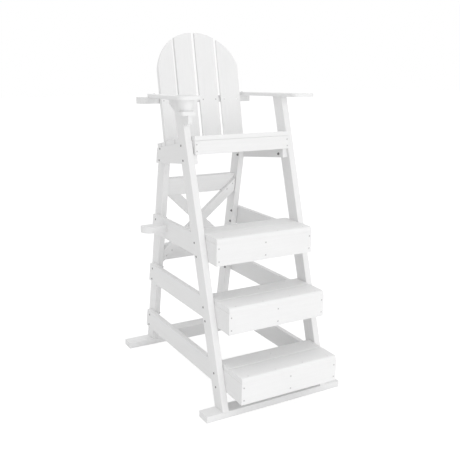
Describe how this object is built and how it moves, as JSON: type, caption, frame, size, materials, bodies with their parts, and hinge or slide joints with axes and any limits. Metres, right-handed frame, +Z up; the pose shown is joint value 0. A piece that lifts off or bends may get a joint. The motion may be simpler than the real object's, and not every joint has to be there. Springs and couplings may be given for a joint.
{
  "type": "lifeguard chair",
  "caption": "Tall open-framed lifeguard chair of white plastic lumber, with a stepped front ladder, slatted seat, round-topped slatted back and armrests.",
  "frame": {"origin": "centre of the front floor runner's underside, on the floor", "axes": "+Z up, +Y from the ladder towards the back of the chair, +X to the right of somebody facing the chair"},
  "size_m": [0.889, 1.319, 2.0195],
  "materials": {
    "lumber": "matte white plastic lumber",
    "cup": "satin moulded plastic"
  },
  "bodies": {
    "root": {"front_runner": "lumber", "rear_runner": "lumber", "left_front_leg": "lumber", "right_front_leg": "lumber", "left_rear_leg": "lumber", "right_rear_leg": "lumber", "lower_left_rail": "lumber", "lower_right_rail": "lumber", "middle_left_rail": "lumber", "middle_right_rail": "lumber", "upper_left_rail": "lumber", "upper_right_rail": "lumber", "left_seat_rail": "lumber", "right_seat_rail": "lumber", "floor_stretcher": "lumber", "bottom_riser": "lumber", "bottom_front_tread": "lumber", "bottom_rear_tread": "lumber", "bottom_centre_joist": "lumber", "middle_riser": "lumber", "middle_front_tread": "lumber", "middle_rear_tread": "lumber", "middle_centre_joist": "lumber", "top_riser": "lumber", "top_front_tread": "lumber", "top_rear_tread": "lumber", "top_centre_joist": "lumber", "seat_apron": "lumber", "seat_slat_1": "lumber", "seat_slat_2": "lumber", "seat_slat_3": "lumber", "seat_slat_4": "lumber", "seat_slat_5": "lumber", "lower_back_rail": "lumber", "back_rail": "lumber", "left_outer_back_slat": "lumber", "left_inner_back_slat": "lumber", "right_inner_back_slat": "lumber", "right_outer_back_slat": "lumber", "left_arm": "lumber", "right_arm": "lumber", "lower_cross_board": "lumber", "upper_cross_board": "lumber", "front_diagonal_brace": "lumber", "rear_diagonal_brace": "lumber", "side_peg": "lumber", "cup_holder": "cup", "cup_shelf": "lumber", "cup_bracket": "lumber", "arm_corbel": "lumber"}
  },
  "joints": []
}
